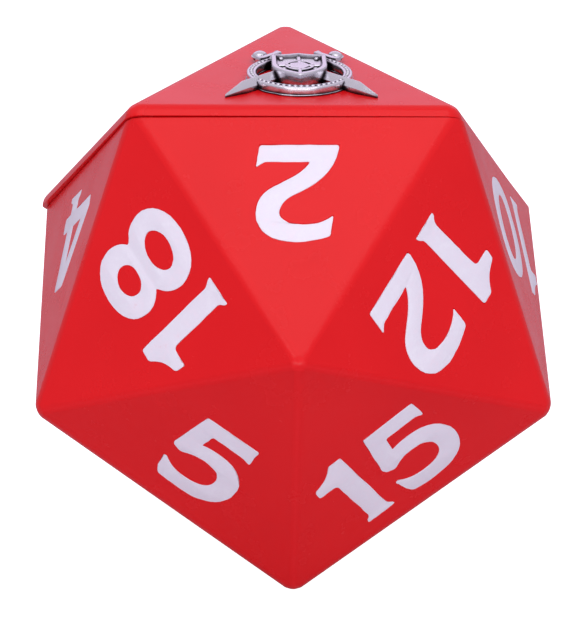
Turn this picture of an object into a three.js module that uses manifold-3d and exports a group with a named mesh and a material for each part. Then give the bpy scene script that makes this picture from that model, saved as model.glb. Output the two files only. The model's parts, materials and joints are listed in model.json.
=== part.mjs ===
// A dice box in the shape of a twenty-sided die, with a lift-off lid.
//
// The die stands on one face. One corner of it, with the five faces around that corner, is the
// lid: a shallow five-sided cap that rests on a flat seam and drops into the mouth of the hollow
// body with a lip. The numerals are engraved, and each digit holds a fill of white enamel. An
// emblem lies on the lid's level face, and a felt pad is let into the face underneath.
//
// Millimetres, +Z up. The origin is on the ground, in the middle of the felt pad. The lid's own
// corner points back (+Y) and up.

import * as THREE from 'three';
import { ConvexGeometry } from 'three/addons/geometries/ConvexGeometry.js';
import { mergeVertices } from 'three/addons/utils/BufferGeometryUtils.js';
import Module from 'manifold-3d';

// ---------------------------------------------------------------- driving dimensions

const dieHeight = 135;          // from face to opposite face
const edgeRadius = 4.2;         // rounding of the die's edges
const topRise = 0.35;           // the lid's level face is cast this much high

const bodyWall = 5.5;
const lidWall = 8;

const seamDrop = 2.75;          // seam below the five corners around the lid
const seamGap = 0.35;           // the lid rides this much above the rim
const lipDepth = 4.5;
const lipWall = 2.8;
const lipRoot = 3;              // solid ring between the lip and the lid's hollow
const lipPlay = 2;              // between the lip and the mouth, each side
const mouthDepth = 7;           // straight part of the mouth that takes the lip
const mouthCornerRadius = 4;

const lidShiftX = -1.05;        // the lid rests a little off its place, within its play
const lidShiftForward = 0.3;
const lidTwist = 0.67;          // degrees about the lid's own axis

const numeralHeight = 29.5;
const numeralDepth = 1.5;       // depth of the engraving
const enamelThickness = 0.7;
const digitSpace = 4.2;         // between the two digits of a number
const underlineDrop = 3.4;      // from a 6 or a 9 down to its underline
const underlineHeight = 3.4;

const padThickness = 1.2;
const padProud = 0.5;           // the pad holds the die this much off the ground
const padMargin = 9;            // from the pad to the edges of the bottom face
const padCornerRadius = 5;

const emblemThickness = 4.2;    // at the shield, its highest part
const pommelShare = 0.8;        // the other parts' heights, as shares of the shield's
const swordShare = 0.72;
const ringShare = 0.6;
const emblemShiftX = 2.3;       // from the middle of the lid's level face
const emblemShiftY = -1;
const ringRadius = 14.8;
const ringWidth = 2.6;
const ringDrop = 1.7;           // from the emblem's middle down to the ring's
const shieldWidth = 15.5;
const shieldHeight = 20;
const shieldFullness = 0.6;     // how low the shield's sides bulge, as a share of its half height
const swordCrossing = 4;        // above the emblem's middle
const swordAngle = 46;          // degrees between a sword and the emblem's ground line
const tipReach = 30.5;          // from the crossing to a sword's tip
const guardReach = 10.8;        // from the crossing to its guard
const pommelReach = 15.4;       // from the crossing to the middle of its pommel
const bladeWidth = 3.6;
const gripWidth = 2.6;
const guardLength = 8.6;
const guardWidth = 2.4;
const pommelRadius = 2.2;

const fitGap = 0.3;             // between pieces that touch

// ---------------------------------------------------------------- solids

const wasm = await Module();
wasm.setup();

// A closed three.js geometry as a solid that can be cut and joined.
function solidOf(geometry) {
  const bare = geometry.clone();
  bare.deleteAttribute('normal');
  bare.deleteAttribute('uv');
  const merged = mergeVertices(bare, 1e-4);
  return new wasm.Manifold(new wasm.Mesh({
    numProp: 3,
    vertProperties: new Float32Array(merged.attributes.position.array),
    triVerts: new Uint32Array(merged.index.array),
  }));
}

// A solid as a three.js geometry.
function geometryOf(solid) {
  const mesh = solid.getMesh();
  const geometry = new THREE.BufferGeometry();
  geometry.setAttribute('position', new THREE.BufferAttribute(mesh.vertProperties, 3));
  geometry.setIndex(new THREE.BufferAttribute(mesh.triVerts, 1));
  geometry.computeVertexNormals();
  return geometry;
}

const unionOf = (solids) => solids.reduce((sum, next) => sum.add(next));

const curveSegments = 6;

// A flat outline as a plate between two heights of its own frame, put in place by a matrix.
function plate(shape, bottom, top, frame) {
  const options = { depth: top - bottom, bevelEnabled: false, curveSegments };
  const geometry = new THREE.ExtrudeGeometry(shape, options);
  geometry.translate(0, 0, bottom);
  geometry.applyMatrix4(frame);
  return geometry;
}

// A frame whose z points outwards and whose y points up the outline.
function frameAt(origin, outward, up) {
  const right = new THREE.Vector3().crossVectors(up, outward);
  return new THREE.Matrix4().makeBasis(right, up, outward).setPosition(origin);
}

// A regular polygon with rounded corners, one corner straight up.
function roundedPolygon(sides, inradius, cornerRadius) {
  const halfTurn = Math.PI / sides;
  const reach = (inradius - cornerRadius) / Math.cos(halfTurn);
  const shape = new THREE.Shape();
  for (let i = 0; i < sides; i += 1) {
    const angle = Math.PI / 2 + 2 * halfTurn * i;
    const x = reach * Math.cos(angle);
    const y = reach * Math.sin(angle);
    shape.absarc(x, y, cornerRadius, angle - halfTurn, angle + halfTurn, false);
  }
  return shape;
}

// ---------------------------------------------------------------- the twenty-sided form

const golden = (1 + Math.sqrt(5)) / 2;
const edgeOf = (inradius) => 2 * Math.sqrt(3) * inradius / golden ** 2;

// The twelve corners about the middle of the die, which stands on a face. A, B and C go round the
// level top face and F, G and H are the upper corners around it. L, R and D are the lower ones,
// and A2, B2 and C2 go round the bottom face, each opposite its namesake.
function cornersOf(inradius) {
  const endRadius = edgeOf(inradius) / Math.sqrt(3);
  const middleRadius = endRadius * golden;
  const middleHeight = inradius - endRadius;
  const corner = (radius, degrees, height) => {
    const angle = THREE.MathUtils.degToRad(degrees);
    return new THREE.Vector3(radius * Math.cos(angle), radius * Math.sin(angle), height);
  };
  return {
    A: corner(endRadius, 210, inradius),
    B: corner(endRadius, 330, inradius),
    C: corner(endRadius, 90, inradius),
    F: corner(middleRadius, 270, middleHeight),
    G: corner(middleRadius, 150, middleHeight),
    H: corner(middleRadius, 30, middleHeight),
    L: corner(middleRadius, 210, -middleHeight),
    R: corner(middleRadius, 330, -middleHeight),
    D: corner(middleRadius, 90, -middleHeight),
    A2: corner(endRadius, 30, -inradius),
    B2: corner(endRadius, 150, -inradius),
    C2: corner(endRadius, 270, -inradius),
  };
}

const dieInradius = dieHeight / 2;
const dieCorners = cornersOf(dieInradius);
const middleOfDie = new THREE.Vector3(0, 0, padProud + dieInradius);

// The outward directions of the die's corners, edges and faces.
function directionsOfDie() {
  const corners = Object.values(dieCorners);
  const reach = edgeOf(dieInradius) * 1.01;
  const joined = (p, q) => p.distanceTo(q) < reach;
  const sum = (...parts) => (
    parts.reduce((total, part) => total.add(part), new THREE.Vector3()).normalize()
  );
  const directions = [];
  corners.forEach((p, i) => {
    directions.push(sum(p));
    corners.slice(i + 1).filter((q) => joined(p, q)).forEach((q) => {
      directions.push(sum(p, q));
      const later = corners.slice(corners.indexOf(q) + 1);
      later.filter((r) => joined(p, r) && joined(q, r)).forEach((r) => directions.push(sum(p, q, r)));
    });
  });
  return directions;
}

// The die with rounded edges: the hull of a small round at each corner. A round needs only its
// points towards the corner and the five edges and five faces that meet there. The level face
// that is cast high adds three corners of its own, inside its neighbours' planes.
function roundedDie() {
  const directions = directionsOfDie();
  const corners = cornersOf(dieInradius - edgeRadius);
  const leanPerRise = Math.sqrt(5) / 2;
  const raised = [corners.A, corners.B, corners.C].map((corner) => {
    const inward = new THREE.Vector3(-corner.x, -corner.y, 0).normalize();
    return corner.clone().addScaledVector(inward, 2 * leanPerRise * topRise).setZ(corner.z + topRise);
  });
  const widestTurn = 0.77;      // cosine of a little more than the angle from a corner to its faces
  const points = [];
  [...Object.values(corners), ...raised].forEach((corner) => {
    const outward = corner.clone().normalize();
    directions.filter((direction) => direction.dot(outward) > widestTurn).forEach((direction) => {
      points.push(corner.clone().addScaledVector(direction, edgeRadius));
    });
  });
  return solidOf(new ConvexGeometry(points));
}

const sharpDie = (inradius) => solidOf(new ConvexGeometry(Object.values(cornersOf(inradius))));

// ---------------------------------------------------------------- the seam

const lidAxis = dieCorners.C.clone().normalize();
const alongX = new THREE.Vector3(1, 0, 0);
const downBack = new THREE.Vector3().crossVectors(lidAxis, alongX);
const seamDistance = dieCorners.C.length() / Math.sqrt(5) - seamDrop;
const seamFrame = frameAt(lidAxis.clone().multiplyScalar(seamDistance), lidAxis, downBack);

// Everything on the lid's side of a plane at this height above the seam.
function sideOfLid(height) {
  const size = 2 * dieHeight;
  const block = new THREE.BoxGeometry(size, size, size);
  block.translate(0, 0, height + size / 2);
  block.applyMatrix4(seamFrame);
  return solidOf(block);
}

const mouthInradius = edgeOf(dieInradius - bodyWall) / (2 * Math.tan(Math.PI / 5));
const lipInradius = mouthInradius - lipPlay;

// A straight five-sided plug across the seam, at these heights above it.
function plugAcrossSeam(inradius, bottom, top) {
  return solidOf(plate(roundedPolygon(5, inradius, mouthCornerRadius), bottom, top, seamFrame));
}

// ---------------------------------------------------------------- numerals

// Each digit in hundredths of its height, from its lower left. A part of an outline is a line to
// [x, y], a quadratic curve [control, end] or a cubic curve [control, control, end]. An opening is
// such an outline too, or an ellipse [centre x, centre y, half width, half height].
const sixOutline = [
  [72, 80], [74, 97], [66, 99, 60, 100, 54, 100], [22, 100, 0, 76, 0, 38], [0, 14, 16, 0, 41, 0],
  [64, 0, 80, 13, 80, 33], [80, 52, 66, 64, 46, 64], [36, 64, 28, 61, 23, 56],
  [26, 73, 38, 82.5, 56, 82.5], [62, 82.5, 67, 82, 72, 80],
];
const turned = (outline, width) => outline.map((part) => (
  part.map((value, i) => (i % 2 === 0 ? width : 100) - value)
));
const digits = {
  0: {
    width: 86,
    outline: [
      [43, 0], [70, 0, 86, 20, 86, 50], [86, 80, 70, 100, 43, 100],
      [16, 100, 0, 80, 0, 50], [0, 20, 16, 0, 43, 0],
    ],
    ellipses: [[43, 50, 21.5, 33]],
  },
  1: {
    width: 46,
    outline: [
      [15, 0], [46, 0], [45, 3.5], [41, 6, 41, 12], [41.5, 100], [28, 100],
      [22, 91, 15, 85, 2, 82], [0, 71], [15, 71], [20.5, 71, 20.5, 65], [20.5, 12],
      [20.5, 6, 16, 3.5],
    ],
  },
  2: {
    width: 78,
    outline: [
      [1, 0], [74, 0], [78, 23], [70, 17.5], [28, 17.5], [36, 32, 54, 38, 66, 46],
      [74, 52, 78.5, 61, 78.5, 71], [78.5, 90, 64, 100, 43, 100], [31, 100, 20, 97, 11, 94],
      [8, 73], [14, 79, 24, 82.5, 36, 82.5], [49, 82.5, 57, 78, 57, 70],
      [57, 61, 50, 55, 42, 51], [24, 41.5, 5, 29, 1, 0],
    ],
  },
  3: {
    width: 76,
    outline: [
      [5, 5], [14, 1.5, 24, 0, 34, 0], [60, 0, 76, 11, 76, 30], [76, 42, 68, 50, 56, 54],
      [66, 59, 71, 66, 71, 76], [71, 91, 57, 100, 37, 100], [26, 100, 16, 98, 9, 95], [6, 75],
      [13, 80, 22, 83, 33, 83], [44, 83, 50, 79, 50, 72.5], [50, 64, 42, 60, 28, 60], [28, 45],
      [46, 45, 54, 40, 54, 31], [54, 21, 45, 17, 32, 17], [20, 17, 10, 20, 3, 28],
    ],
  },
  4: {
    width: 90,
    outline: [
      [48, 0], [83, 0], [82, 5], [74, 8], [74, 19.5], [90, 19.5], [88, 36.5], [74, 36.5],
      [75, 100], [49, 100], [0, 31], [3, 19.5], [53, 19.5], [53, 8], [48, 5],
    ],
    openings: [[[26, 36.5], [53, 76], [53, 36.5]]],
  },
  5: {
    width: 76,
    outline: [
      [8, -2], [14, -3.5, 20, -4, 27, -4], [40, -4, 50, -3.5, 57, 1], [69, 6, 76, 18, 76, 33],
      [76, 54, 61, 67, 42, 67], [33, 67, 27, 66, 21, 64], [24, 82.5], [57, 82.5], [66, 79],
      [65, 101], [8, 100], [0, 48], [2, 43], [11, 40], [18, 46, 26, 48, 34, 48],
      [47, 48, 55, 42, 55, 32], [55, 20, 45, 13.5, 30, 13.5], [20, 13.5, 12, 15, 4, 24],
      [1, 23], [2, 15, 4, 6],
    ],
  },
  6: { width: 80, outline: sixOutline, ellipses: [[41, 32, 19, 15.5]] },
  7: {
    width: 76,
    outline: [
      [16, 0], [40, 0], [46, 30, 58, 58, 76, 84], [76, 100], [4, 100], [2, 76], [11, 82.5],
      [52, 82.5], [34, 58, 20, 30, 16, 0],
    ],
  },
  8: {
    width: 83,
    outline: [
      [16.5, 53], [8, 58, 4, 65, 4, 74], [4, 91, 19, 102, 41, 102],
      [63, 102, 78, 91, 78, 74], [78, 65, 74, 58, 67, 53], [77, 47, 83, 39, 83, 28],
      [83, 10, 66, -2, 41.5, -2], [17, -2, 0, 10, 0, 28], [0, 39, 6, 47, 16.5, 53],
    ],
    ellipses: [[41, 72.5, 16, 12.5], [41.5, 29, 21, 13.5]],
  },
  9: { width: 80, outline: turned(sixOutline, 80), ellipses: [[39, 68, 19, 15.5]] },
};
const unit = numeralHeight / 100;
const pointsPerCurve = 4;
const pointsPerEllipse = 14;

// The corners of an outline, with its curves cut into short lines.
function pointsOf(outline) {
  const path = new THREE.Path();
  path.moveTo(...outline[0].map((value) => value * unit));
  outline.slice(1).forEach((part) => {
    const values = part.map((value) => value * unit);
    if (values.length === 2) path.lineTo(...values);
    if (values.length === 4) path.quadraticCurveTo(...values);
    if (values.length === 6) path.bezierCurveTo(...values);
  });
  const points = path.getPoints(pointsPerCurve);
  if (points[0].distanceTo(points.at(-1)) < 1e-6) points.pop();
  return points;
}

function pointsOfEllipse([x, y, halfWidth, halfHeight]) {
  const path = new THREE.Path();
  path.absellipse(x * unit, y * unit, halfWidth * unit, halfHeight * unit, 0, 2 * Math.PI, false, 0);
  return path.getPoints(pointsPerEllipse / 2).slice(0, -1);
}

// A loop drawn inside another one, everywhere the same distance from it. The material is on the
// left of the loop.
function insetLoop(points, distance) {
  return points.map((point, i) => {
    const before = points.at(i - 1);
    const after = points[(i + 1) % points.length];
    const arriving = point.clone().sub(before).normalize();
    const leaving = after.clone().sub(point).normalize();
    const left = new THREE.Vector2(-arriving.y - leaving.y, arriving.x + leaving.x);
    return point.clone().addScaledVector(left, distance / (1 + arriving.dot(leaving)));
  });
}

// A digit's flat shape, all its walls moved into the digit by this distance.
function digitShape(digit, distance) {
  const { outline, openings = [], ellipses = [] } = digits[digit];
  const wound = (points, clockwise) => (
    THREE.ShapeUtils.isClockWise(points) === clockwise ? points : points.slice().reverse()
  );
  const holes = [...openings.map(pointsOf), ...ellipses.map(pointsOfEllipse)];
  const shape = new THREE.Shape(insetLoop(wound(pointsOf(outline), false), distance));
  shape.holes = holes.map((hole) => new THREE.Path(insetLoop(wound(hole, true), distance)));
  return shape;
}

function underlineShape(digit, distance) {
  const left = distance;
  const right = digits[digit].width * unit - distance;
  const top = -underlineDrop - distance;
  const bottom = -underlineDrop - underlineHeight + distance;
  const points = [[left, bottom], [right, bottom], [right, top], [left, top]];
  return new THREE.Shape(points.map(([x, y]) => new THREE.Vector2(x, y)));
}

// Each number, the corners of its face, how far it is raised from the middle of the face and, on
// a few faces, how far it is shifted to the right and how many degrees it is turned. The last
// corner is the one above the number. Opposite faces add up to 21. The 20 gives way to the
// emblem, and the 1 is on the face under the pad.
const numbers = [
  ['2', 'A B F', 0.4, -0.65], ['3', 'D A2 H', -1], ['4', 'A G L', -0.3, -3.1],
  ['5', 'L C2 F', -0.8, 1.1], ['6', 'D C G', 2], ['7', 'C2 A2 R', -1], ['8', 'B C H', -1],
  ['9', 'D B2 G', 2], ['10', 'B H R', -2, -2], ['11', 'L B2 G', -2.5], ['12', 'F B R', -0.8],
  ['13', 'C2 B2 L', -2.5], ['14', 'A C G', -2.5], ['15', 'R C2 F', -3.6, -0.15, 3],
  ['16', 'D C H', -2.5], ['17', 'R A2 H', -2.5], ['18', 'A F L', -3, -0.7],
  ['19', 'A2 B2 D', -2.5],
];
const numbersOnLid = ['6', '8', '14', '16'];
const names = { 1: ['numeral_'], 2: ['tens_of_', 'units_of_'] };

// The engravings and the enamel fills of one number, about the middle of the die.
function numberOnFace([number, faceCorners, raise, shift = 0, turn = 0]) {
  const corners = faceCorners.split(' ').map((name) => dieCorners[name]);
  const middle = new THREE.Vector3();
  corners.forEach((corner) => middle.addScaledVector(corner, 1 / 3));
  const up = corners[2].clone().sub(middle).normalize();
  const frame = frameAt(middle, middle.clone().normalize(), up)
    .multiply(new THREE.Matrix4().makeTranslation(shift, raise, 0))
    .multiply(new THREE.Matrix4().makeRotationZ(THREE.MathUtils.degToRad(turn)));
  const widths = [...number].map((digit) => digits[digit].width * unit);
  const width = widths.reduce((sum, next) => sum + next) + digitSpace * (number.length - 1);
  const pieces = [];
  let left = -width / 2;
  const add = (name, shapeAt) => {
    const place = frame.clone().multiply(
      new THREE.Matrix4().makeTranslation(left, -numeralHeight / 2, 0),
    );
    const floor = fitGap - numeralDepth;
    const engraving = solidOf(plate(shapeAt(0), -numeralDepth, edgeRadius, place));
    const enamel = plate(shapeAt(fitGap), floor, floor + enamelThickness, place);
    pieces.push({ name, engraving, enamel });
  };
  [...number].forEach((digit, i) => {
    add(names[number.length][i] + number, (distance) => digitShape(digit, distance));
    if (number === '6' || number === '9') {
      add(`underline_${number}`, (distance) => underlineShape(digit, distance));
    }
    left += widths[i] + digitSpace;
  });
  return pieces;
}

// ---------------------------------------------------------------- materials

const finish = (color, roughness, metalness) => (
  () => new THREE.MeshStandardMaterial({ color, roughness, metalness })
);
const redPaint = finish(0xd3121c, 0.22, 0);
const whiteEnamel = finish(0xe9e4ef, 0.55, 0);
const silver = finish(0x9c9aa2, 0.35, 0.9);
const felt = finish(0x17161a, 0.95, 0);

// A named piece of the model.
function piece(name, geometry, material) {
  const mesh = new THREE.Mesh(geometry, material);
  mesh.name = name;
  return mesh;
}

// ---------------------------------------------------------------- body

const feltInradius = edgeOf(dieInradius) / (2 * Math.sqrt(3)) - padMargin;
const undersideFrame = frameAt(
  new THREE.Vector3(0, 0, -dieInradius), new THREE.Vector3(0, 0, -1), new THREE.Vector3(0, -1, 0),
);

// The pad's outline grown by a gap, between two depths under the bottom face.
function padPlate(gap, bottom, top) {
  const shape = roundedPolygon(3, feltInradius + gap, padCornerRadius + gap);
  return plate(shape, bottom, top, undersideFrame);
}

function bodyShell(engravings) {
  const padRecess = fitGap + padThickness - padProud;
  return roundedDie()
    .subtract(sharpDie(dieInradius - bodyWall))
    .subtract(sideOfLid(0))
    .subtract(plugAcrossSeam(mouthInradius, -mouthDepth, edgeRadius))
    .subtract(solidOf(padPlate(fitGap, -padRecess, edgeRadius)))
    .subtract(unionOf(engravings));
}

// ---------------------------------------------------------------- lid

function lidShell(engravings) {
  const hollow = sharpDie(dieInradius - lidWall).intersect(sideOfLid(lipRoot));
  return roundedDie()
    .intersect(sideOfLid(0))
    .add(plugAcrossSeam(lipInradius, -lipDepth, lipRoot))
    .subtract(plugAcrossSeam(lipInradius - lipWall, -mouthDepth, lipRoot + edgeRadius))
    .subtract(hollow)
    .subtract(unionOf(engravings));
}

// ---------------------------------------------------------------- emblem

const circle = (radius) => new THREE.Shape().absarc(0, 0, radius, 0, 2 * Math.PI, false);

function ringShape() {
  const shape = circle(ringRadius);
  shape.holes.push(new THREE.Path().absarc(0, 0, ringRadius - ringWidth, 0, 2 * Math.PI, true));
  return shape;
}

function shieldShape() {
  const half = shieldWidth / 2;
  const top = shieldHeight / 2;
  const crown = 1.6;            // the top edge rises this much to its middle
  const shape = new THREE.Shape();
  shape.moveTo(-half, top - crown);
  shape.lineTo(-half, 0);
  shape.quadraticCurveTo(-half, -top * shieldFullness, 0, -top);
  shape.quadraticCurveTo(half, -top * shieldFullness, half, 0);
  shape.lineTo(half, top - crown);
  shape.quadraticCurveTo(half / 2, top - crown, 0, top);
  shape.quadraticCurveTo(-half / 2, top - crown, -half, top - crown);
  return shape;
}

// One sword along x, crossing the other at the origin, with its tip at the far right.
function swordShapes() {
  const half = bladeWidth / 2;
  const shoulder = tipReach - 2 * bladeWidth;
  const blade = [
    [-guardReach, -half], [shoulder, -half], [tipReach, 0], [shoulder, half], [-guardReach, half],
  ];
  const bar = (left, right, height) => {
    const high = height / 2;
    return [[left, -high], [right, -high], [right, high], [left, high]];
  };
  const guard = bar(-guardReach - guardWidth, -guardReach, guardLength);
  const grip = bar(-pommelReach, -guardReach, gripWidth);
  const shapeOf = (points) => new THREE.Shape(points.map(([x, y]) => new THREE.Vector2(x, y)));
  return [blade, guard, grip].map(shapeOf);
}

function emblemSolid() {
  const face = frameAt(
    new THREE.Vector3(emblemShiftX, emblemShiftY, dieInradius + topRise + fitGap),
    new THREE.Vector3(0, 0, 1),
    new THREE.Vector3(0, 1, 0),
  );
  const shifted = (frame, x, y) => frame.clone().multiply(new THREE.Matrix4().makeTranslation(x, y, 0));
  const layer = (shape, share, frame) => solidOf(plate(shape, 0, emblemThickness * share, frame));
  const crossing = shifted(face, 0, swordCrossing);
  const tilt = THREE.MathUtils.degToRad(swordAngle);
  const swords = [-tilt, tilt - Math.PI].flatMap((angle) => {
    const frame = crossing.clone().multiply(new THREE.Matrix4().makeRotationZ(angle));
    const pommel = layer(circle(pommelRadius), pommelShare, shifted(frame, -pommelReach, 0));
    return [...swordShapes().map((shape) => layer(shape, swordShare, frame)), pommel];
  });
  const ring = layer(ringShape(), ringShare, shifted(face, 0, -ringDrop));
  return unionOf([ring, layer(shieldShape(), 1, face), ...swords]);
}

// ---------------------------------------------------------------- assembly

const body = new THREE.Group();
body.position.copy(middleOfDie);

const lid = new THREE.Group();
lid.position.copy(middleOfDie)
  .addScaledVector(alongX, lidShiftX)
  .addScaledVector(downBack, -lidShiftForward)
  .addScaledVector(lidAxis, seamGap);
lid.quaternion.setFromAxisAngle(lidAxis, THREE.MathUtils.degToRad(lidTwist));

const engravings = { body: [], lid: [] };
numbers.forEach((entry) => {
  const home = numbersOnLid.includes(entry[0]) ? 'lid' : 'body';
  numberOnFace(entry).forEach(({ name, engraving, enamel }) => {
    engravings[home].push(engraving);
    (home === 'lid' ? lid : body).add(piece(name, enamel, whiteEnamel()));
  });
});

body.add(piece('body_shell', geometryOf(bodyShell(engravings.body)), redPaint()));
body.add(piece('base_felt', padPlate(0, padProud - padThickness, padProud), felt()));
lid.add(piece('lid_shell', geometryOf(lidShell(engravings.lid)), redPaint()));
lid.add(piece('emblem', geometryOf(emblemSolid()), silver()));

const diceBox = new THREE.Group();
diceBox.add(body, lid);

export default diceBox;
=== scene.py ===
# %% [markdown]
# # A dice box in the shape of a twenty-sided die
#
# This lesson builds the visible model of a hollow dice box around its measured frame. The box is
# a large die that stands on one face. One corner of it, with the five faces around that corner,
# lifts off as a lid. The faces carry engraved numerals filled with white enamel, a silver emblem
# lies on the lid, and a felt pad protects the table. Everything is in metres, +Z up.

import json
from math import cos, pi, radians, sin, sqrt, tan

import bpy
from mathutils import Matrix, Vector

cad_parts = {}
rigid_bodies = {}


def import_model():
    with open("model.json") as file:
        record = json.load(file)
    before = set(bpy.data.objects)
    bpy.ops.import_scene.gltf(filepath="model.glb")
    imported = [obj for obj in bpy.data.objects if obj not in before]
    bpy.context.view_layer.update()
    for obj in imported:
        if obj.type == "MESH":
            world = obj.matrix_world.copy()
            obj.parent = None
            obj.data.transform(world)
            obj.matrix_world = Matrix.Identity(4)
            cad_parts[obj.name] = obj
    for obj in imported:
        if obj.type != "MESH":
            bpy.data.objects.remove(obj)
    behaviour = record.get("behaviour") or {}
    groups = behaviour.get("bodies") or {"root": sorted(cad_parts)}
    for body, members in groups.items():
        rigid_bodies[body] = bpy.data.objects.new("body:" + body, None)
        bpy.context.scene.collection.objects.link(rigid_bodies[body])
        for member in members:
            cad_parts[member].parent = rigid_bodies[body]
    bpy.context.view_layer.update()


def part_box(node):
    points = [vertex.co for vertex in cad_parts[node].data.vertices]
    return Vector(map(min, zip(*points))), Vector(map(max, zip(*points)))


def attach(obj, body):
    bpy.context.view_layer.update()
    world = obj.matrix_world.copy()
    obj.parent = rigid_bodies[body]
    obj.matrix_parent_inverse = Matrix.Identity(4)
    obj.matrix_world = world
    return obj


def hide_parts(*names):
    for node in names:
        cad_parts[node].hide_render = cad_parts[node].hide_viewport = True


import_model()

# %% [markdown]
# ## Sizes
#
# The pad holds the die a little off the ground, so the lowest point of the red body says where
# the die begins. All other sizes of the die follow from its height, the rounding of its edges
# and its walls.

# %% Sizes of the die
mm = 0.001
die_height = 135 * mm
inradius = die_height / 2
edge_radius = 4.2 * mm
top_rise = 0.35 * mm
ground_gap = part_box("body_shell")[0].z
middle = Vector((0, 0, ground_gap + inradius))

golden = (1 + sqrt(5)) / 2


def edge_of(inradius):
    return 2 * sqrt(3) * inradius / golden**2


def corners_of(inradius):
    """The twelve corners about the middle: A B C on top, then F G H, then L R D, then A2 B2 C2."""
    end_radius = edge_of(inradius) / sqrt(3)
    middle_radius = end_radius * golden
    middle_height = inradius - end_radius
    rings = {
        "A": (end_radius, 210, inradius),
        "B": (end_radius, 330, inradius),
        "C": (end_radius, 90, inradius),
        "F": (middle_radius, 270, middle_height),
        "G": (middle_radius, 150, middle_height),
        "H": (middle_radius, 30, middle_height),
        "L": (middle_radius, 210, -middle_height),
        "R": (middle_radius, 330, -middle_height),
        "D": (middle_radius, 90, -middle_height),
        "A2": (end_radius, 30, -inradius),
        "B2": (end_radius, 150, -inradius),
        "C2": (end_radius, 270, -inradius),
    }
    return {
        name: Vector((radius * cos(radians(turn)), radius * sin(radians(turn)), height))
        for name, (radius, turn, height) in rings.items()
    }


corners = corners_of(inradius)
corner_reach = corners["C"].length / inradius
print("edge of the die:", round(edge_of(inradius) / mm, 1), "mm")

# %% [markdown]
# ## Where the lid parts from the body
#
# The seam is a plane a little below the five corners that surround the lid's own corner C. Its
# frame has z along the lid's axis and y down the back of the die.

# %% The seam and the lid's resting place
seam_drop = 2.75 * mm
seam_gap = 0.25 * mm
lid_axis = corners["C"].normalized()
along_x = Vector((1, 0, 0))
down_back = lid_axis.cross(along_x)
seam_distance = corners["C"].length / sqrt(5) - seam_drop


def frame_at(origin, outward, up):
    """A place whose z points outward and whose y points up."""
    right = up.cross(outward)
    turn = Matrix((right, up, outward)).transposed().to_4x4()
    return Matrix.Translation(origin) @ turn


seam_frame = frame_at(middle + lid_axis * seam_distance, lid_axis, down_back)

lid_shift_x = -1.05 * mm
lid_shift_forward = 0.3 * mm
lid_twist = radians(0.67)
lid_shift = along_x * lid_shift_x - down_back * lid_shift_forward + lid_axis * seam_gap
lid_place = (
    Matrix.Translation(middle + lid_shift)
    @ Matrix.Rotation(lid_twist, 4, lid_axis)
    @ Matrix.Translation(-middle)
)
print("seam is", round(seam_distance / mm, 2), "mm from the die's middle")

# %% [markdown]
# ## Camera
#
# A long lens from the front and a little above. The further away the camera stands, the more
# nearly parallel the die's edges stay.

# %% Camera
view_distance = 9.987 * edge_of(inradius)
view_right = 0.0099 * edge_of(inradius)
view_down = 0.0212 * edge_of(inradius)
view_height = radians(22.12)
view_side = radians(-1.58)
view_roll = radians(-0.52)

forward = Vector((0, cos(view_height), -sin(view_height)))
upward = Vector((0, sin(view_height), cos(view_height)))
camera_spot = along_x * view_right - upward * view_down - forward * view_distance
camera_right = along_x * cos(view_roll) - upward * sin(view_roll)
camera_up = along_x * sin(view_roll) + upward * cos(view_roll)
camera_turn = Matrix((camera_right, camera_up, -forward)).transposed().to_4x4()

bpy.ops.object.camera_add()
camera = bpy.context.object
camera.name = "front_camera"
camera.matrix_world = (
    Matrix.Translation(middle)
    @ Matrix.Rotation(view_side, 4, "Z")
    @ Matrix.Translation(camera_spot)
    @ camera_turn
)
camera.data.lens = 179.9
camera.data.sensor_width = 36
camera.data.clip_start = 0.05
camera.data.clip_end = 50
bpy.context.scene.camera = camera
print("camera at", [round(x, 3) for x in camera.matrix_world.translation])

# %% [markdown]
# ## Node helpers
#
# Every finish is a small tree of nodes around one Principled shader. These helpers add a node
# with its settings and wire it, so that each finish below reads from top to bottom.


# %% Helpers for node trees
def new_material(name):
    """A material with an empty Principled shader, its nodes and its links."""
    material = bpy.data.materials.new(name)
    material.use_nodes = True
    nodes = material.node_tree.nodes
    return material, nodes, material.node_tree.links, nodes["Principled BSDF"]


def add_node(nodes, kind, inputs=None, **settings):
    node = nodes.new(kind)
    for key, value in settings.items():
        setattr(node, key, value)
    for key, value in (inputs or {}).items():
        node.inputs[key].default_value = value
    return node


def noise_at(nodes, links, coordinates, size, detail=3.0, roughness=0.5):
    """Noise whose lumps are about this many metres across."""
    noise = add_node(
        nodes, "ShaderNodeTexNoise", {"Scale": 1 / size, "Detail": detail, "Roughness": roughness}
    )
    links.new(coordinates, noise.inputs["Vector"])
    return noise.outputs["Fac"]


def ramp(nodes, links, factor, stops):
    """A colour ramp through these (position, colour) stops."""
    node = nodes.new("ShaderNodeValToRGB")
    elements = node.color_ramp.elements
    while len(elements) < len(stops):
        elements.new(0.5)
    for element, (position, colour) in zip(elements, stops):
        element.position = position
        element.color = (*colour, 1)
    links.new(factor, node.inputs["Fac"])
    return node.outputs["Color"]


def bump(nodes, links, height, strength, distance, below=None):
    node = add_node(nodes, "ShaderNodeBump", {"Strength": strength, "Distance": distance})
    links.new(height, node.inputs["Height"])
    if below:
        links.new(below, node.inputs["Normal"])
    return node.outputs["Normal"]


def product(nodes, links, first, second):
    node = add_node(nodes, "ShaderNodeMath", operation="MULTIPLY")
    links.new(first, node.inputs[0])
    links.new(second, node.inputs[1])
    return node.outputs[0]


def map_range(nodes, links, value, low, high, to_low, to_high):
    node = add_node(
        nodes,
        "ShaderNodeMapRange",
        {"From Min": low, "From Max": high, "To Min": to_low, "To Max": to_high},
    )
    links.new(value, node.inputs["Value"])
    return node.outputs["Result"]


print("node helpers ready")

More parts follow.
